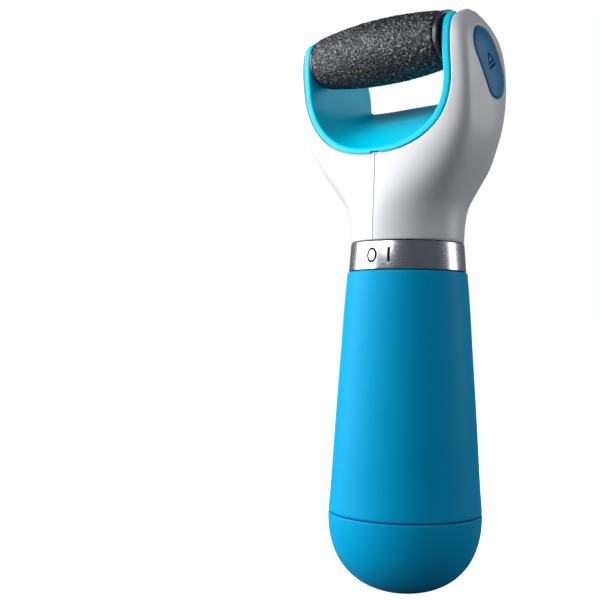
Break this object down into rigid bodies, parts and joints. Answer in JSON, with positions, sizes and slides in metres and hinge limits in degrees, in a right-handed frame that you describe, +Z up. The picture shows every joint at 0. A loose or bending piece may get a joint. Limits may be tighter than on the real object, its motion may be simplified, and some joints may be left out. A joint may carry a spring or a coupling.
{
  "type": "electric callus remover",
  "caption": "Battery foot file: a round tapering handle with a twist switch ring carries a grit roller between two arms, geared to a motor, with a side release button.",
  "frame": {"origin": "centre of the small flat foot under the battery cap, on the axis of the handle", "axes": "+Z up the handle towards the roller; -Y is the front, where the roller stands proud; the roller turns about X, and the release button is on +X"},
  "size_m": [0.0642, 0.0472, 0.1735],
  "materials": {
    "grip_blue": "satin moulded",
    "cradle_cyan": "semi gloss moulded",
    "head_white": "gloss moulded",
    "ring_steel": "turned and brushed",
    "grit": "coarse mineral grit",
    "black_plastic": "satin",
    "acetal": "natural acetal",
    "grey_plastic": "moulded",
    "plain_steel": "bright",
    "nickel": "nickel plated",
    "brass": "machined",
    "cell_wrap": "printed film over a metal can",
    "board_green": "solder mask",
    "seal_rubber": "moulded",
    "magnet": "sintered ferrite",
    "windings": "laminations and copper wire",
    "lead_red": "insulated wire",
    "lead_black": "insulated wire"
  },
  "bodies": {
    "body": {"battery_1": "cell_wrap", "battery_2": "cell_wrap", "battery_3": "cell_wrap", "battery_4": "cell_wrap", "battery_tube": "grey_plastic", "button_spring": "plain_steel", "cap_seal_ring": "seal_rubber", "contact_spring_2": "nickel", "contact_spring_4": "nickel", "crown_axle": "plain_steel", "gearbox_plate_inner": "grey_plastic", "gearbox_plate_outer": "grey_plastic", "gearbox_post_1": "brass", "gearbox_post_2": "brass", "handle_grip": "grip_blue", "head_shell_left": "head_white", "head_shell_right": "head_white", "idler_1_pin": "plain_steel", "idler_2_pin": "plain_steel", "latch_pin": "plain_steel", "lead_cells_to_switch": "lead_red", "lead_switch_to_motor": "lead_black", "motor_can": "plain_steel", "motor_end_cap": "black_plastic", "motor_magnets": "magnet", "motor_mount": "grey_plastic", "neck_screw_1": "plain_steel", "neck_screw_2": "plain_steel", "negative_terminal": "nickel", "positive_terminal": "nickel", "roller_cradle": "cradle_cyan", "stage_axle": "plain_steel", "switch_board": "board_green", "top_contact_bridge": "nickel"},
    "contact_carrier": {"cap_contact_carrier": "black_plastic", "cap_contact_bridge_1": "nickel", "cap_contact_bridge_2": "nickel", "contact_spring_1": "nickel", "contact_spring_3": "nickel"},
    "battery_cap": {"battery_cap": "grip_blue"},
    "switch_ring": {"switch_ring": "ring_steel", "switch_wiper": "brass"},
    "roller": {"roller_grit_sleeve": "grit", "roller_core": "black_plastic", "roller_end_cap_left": "black_plastic", "roller_end_cap_right": "black_plastic", "roller_axle": "acetal", "drive_hub": "acetal"},
    "arm_idler_2": {"arm_idler_2_gear": "acetal"},
    "arm_idler_1": {"arm_idler_1_gear": "acetal"},
    "jack_pinion": {"jack_pinion": "acetal"},
    "stage_gear": {"stage_gear": "acetal"},
    "crown_gear": {"crown_gear": "acetal"},
    "motor_rotor": {"motor_shaft": "plain_steel", "motor_pinion": "brass", "motor_armature": "windings"},
    "release_button": {"release_button": "grip_blue"},
    "release_latch": {"release_latch": "plain_steel", "latch_spring": "plain_steel"}
  },
  "joints": [
    {"name": "roller_spin", "type": "hinge", "parent": "body", "child": "roller", "pos_m": [0, -0.0123, 0.1635], "axis": [1, 0, 0], "continuous": true},
    {"name": "arm_idler_2_spin", "type": "hinge", "parent": "body", "child": "arm_idler_2", "pos_m": [-0.0271, -0.00542, 0.1577], "axis": [1, 0, 0], "continuous": true},
    {"name": "arm_idler_1_spin", "type": "hinge", "parent": "body", "child": "arm_idler_1", "pos_m": [-0.0271, 0.00082, 0.14864], "axis": [1, 0, 0], "continuous": true},
    {"name": "jack_pinion_spin", "type": "hinge", "parent": "body", "child": "jack_pinion", "pos_m": [-0.022, 0.00399, 0.14184], "axis": [1, 0, 0], "continuous": true},
    {"name": "stage_gear_spin", "type": "hinge", "parent": "body", "child": "stage_gear", "pos_m": [-0.012, 0.00449, 0.13236], "axis": [1, 0, 0], "continuous": true},
    {"name": "crown_gear_spin", "type": "hinge", "parent": "body", "child": "crown_gear", "pos_m": [-0.005, 0, 0.117], "axis": [1, 0, 0], "continuous": true},
    {"name": "motor_spin", "type": "hinge", "parent": "body", "child": "motor_rotor", "pos_m": [0, 0, 0.085], "axis": [0, 0, 1], "continuous": true},
    {"name": "switch_ring_turn", "type": "hinge", "parent": "body", "child": "switch_ring", "pos_m": [0, 0, 0.1013], "axis": [0, 0, 1], "range_deg": [-18.5, 0]},
    {"name": "button_press", "type": "slide", "parent": "body", "child": "release_button", "axis": [-1, 0, 0], "range_m": [0, 0.0012], "stiffness_N_per_m": 900, "springref_m": -0.0012, "deforming": ["button_spring"]},
    {"name": "latch_swing", "type": "hinge", "parent": "body", "child": "release_latch", "pos_m": [0.02685, -0.004, 0.154], "axis": [1, 0, 0], "range_deg": [-16.5, 0]},
    {"name": "cap_turn", "type": "hinge", "parent": "contact_carrier", "child": "battery_cap", "pos_m": [0, 0, 0.012], "axis": [0, 0, 1], "range_deg": [0, 60]},
    {"name": "cap_lift", "type": "slide", "parent": "body", "child": "contact_carrier", "axis": [0, 0, -1], "range_m": [0, 0.00273]}
  ],
  "couplings": [
    {"joint": "roller_spin", "follows": "motor_spin", "ratio": 0.43985},
    {"joint": "arm_idler_2_spin", "follows": "motor_spin", "ratio": -0.2799},
    {"joint": "arm_idler_1_spin", "follows": "motor_spin", "ratio": 0.2799},
    {"joint": "jack_pinion_spin", "follows": "motor_spin", "ratio": -0.76974},
    {"joint": "stage_gear_spin", "follows": "motor_spin", "ratio": 0.20526},
    {"joint": "crown_gear_spin", "follows": "motor_spin", "ratio": -0.3},
    {"joint": "latch_swing", "follows": "button_press", "rad_per_m": -232.71},
    {"joint": "cap_lift", "follows": "cap_turn", "m_per_rad": 0.0024828}
  ]
}
